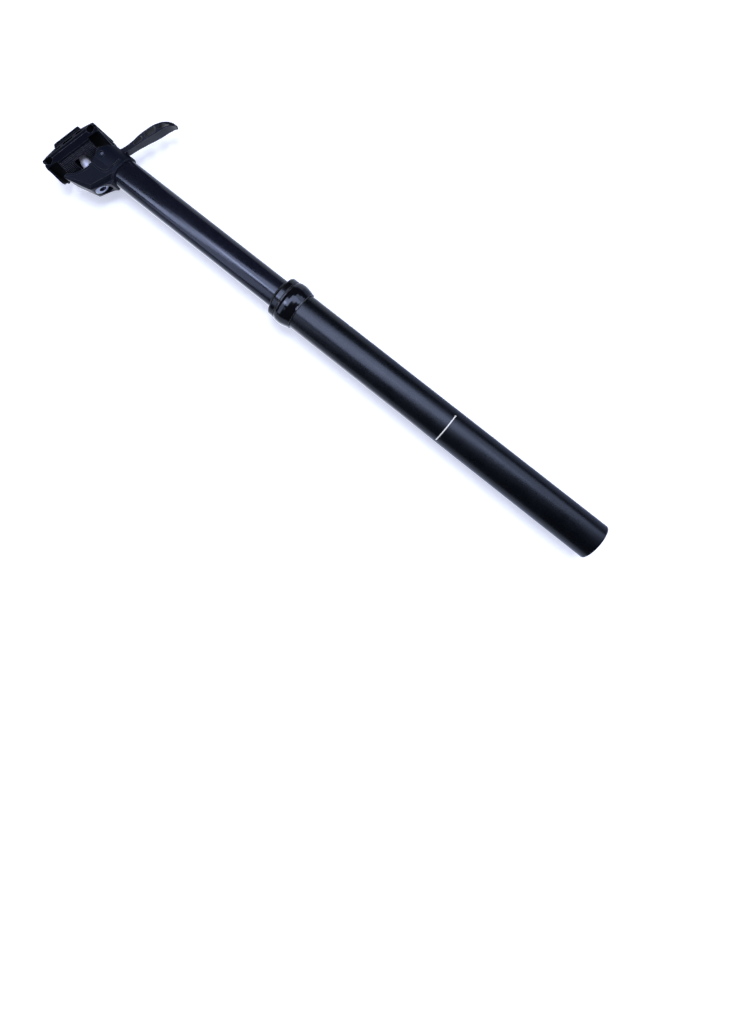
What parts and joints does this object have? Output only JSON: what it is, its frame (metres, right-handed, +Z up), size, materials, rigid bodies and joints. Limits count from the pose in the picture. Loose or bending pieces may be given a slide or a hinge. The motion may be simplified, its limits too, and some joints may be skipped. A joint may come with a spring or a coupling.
{
  "type": "dropper seatpost",
  "caption": "Telescoping bicycle seatpost with an under-saddle release lever, a sliding polished inner tube and a toothed saddle-rail clamp on a through bolt.",
  "frame": {"origin": "centre of the outer tube's bottom end, on the post's axis", "axes": "+Z up the post towards the saddle, +X forward (the side the lever is on), +Y to the rider's left; shown fully extended, lever released, saddle clamp turned across"},
  "size_m": [0.0977, 0.038, 0.5481],
  "materials": {
    "tube_black": "satin black anodised",
    "collar_black": "gloss black anodised",
    "stanchion_black": "polished black anodised",
    "head_black": "fine-grained satin black",
    "clamp_black": "fine-grained satin black",
    "lever_black": "gloss black anodised",
    "sleeve_aluminium": "brushed",
    "inner_aluminium": "machined",
    "plain_steel": "bright",
    "rod_steel": "polished",
    "key_brass": "machined",
    "bushing_polymer": "matte",
    "seal_rubber": "matte",
    "bump_rubber": "matte"
  },
  "bodies": {
    "outer": {"outer_tube": "tube_black", "collar": "collar_black", "wiper_seal": "seal_rubber", "upper_bushing": "bushing_polymer", "base_plug": "inner_aluminium", "cartridge_rod": "rod_steel", "rod_nut": "plain_steel", "rod_washer": "plain_steel", "bump_stop": "bump_rubber", "main_piston": "inner_aluminium", "main_piston_seal": "seal_rubber", "piston_nut": "plain_steel"},
    "stanchion": {"stanchion_tube": "stanchion_black", "guide_keys": "key_brass", "lower_bushing": "bushing_polymer", "cartridge_tube": "inner_aluminium", "cartridge_gland": "inner_aluminium", "rod_seal": "seal_rubber", "cartridge_ring": "inner_aluminium", "cartridge_head": "inner_aluminium", "saddle_head": "head_black", "pivot_pin": "plain_steel", "bolt_sleeve": "sleeve_aluminium", "release_spring": "plain_steel"},
    "lever": {"lever": "lever_black"},
    "release": {"release_pin": "plain_steel"},
    "gas_piston": {"floating_piston": "inner_aluminium", "floating_piston_seal": "seal_rubber"},
    "clamp": {"lower_clamp": "clamp_black"},
    "clamp_top": {"upper_clamp": "clamp_black", "clamp_nut": "clamp_black"},
    "bolt": {"clamp_bolt": "plain_steel", "bolt_washer": "plain_steel"}
  },
  "joints": [
    {"name": "travel", "type": "slide", "parent": "outer", "child": "stanchion", "axis": [0, 0, 1], "range_m": [-0.15, 0]},
    {"name": "lever_pivot", "type": "hinge", "parent": "stanchion", "child": "lever", "pos_m": [0.001, 0, 0.506], "axis": [0, -1, 0], "range_deg": [0, 12], "stiffness_Nm_per_rad": 0.3, "springref_deg": -3.44},
    {"name": "release_slide", "type": "slide", "parent": "stanchion", "child": "release", "axis": [0, 0, -1], "range_m": [0, 0.0005], "deforming": ["release_spring"]},
    {"name": "gas_piston_slide", "type": "slide", "parent": "stanchion", "child": "gas_piston", "axis": [0, 0, 1], "range_m": [0, 0.0485]},
    {"name": "clamp_turn", "type": "hinge", "parent": "stanchion", "child": "clamp", "pos_m": [-0.0145, 0, 0.5165], "axis": [0.309, 0, 0.9511], "range_deg": [-90, 90]},
    {"name": "bolt_turn", "type": "hinge", "parent": "clamp", "child": "bolt", "pos_m": [-0.0145, 0, 0.5165], "axis": [-0.309, 0, -0.9511], "range_deg": [0, 1440.5]},
    {"name": "clamp_lift", "type": "slide", "parent": "clamp", "child": "clamp_top", "axis": [0.309, 0, 0.9511], "range_m": [0, 0.005]}
  ],
  "couplings": [
    {"joint": "release_slide", "follows": "lever_pivot", "m_per_rad": 0.00188},
    {"joint": "gas_piston_slide", "follows": "travel", "ratio": -0.32},
    {"joint": "bolt_turn", "follows": "clamp_lift", "rad_per_m": 5026.5}
  ]
}
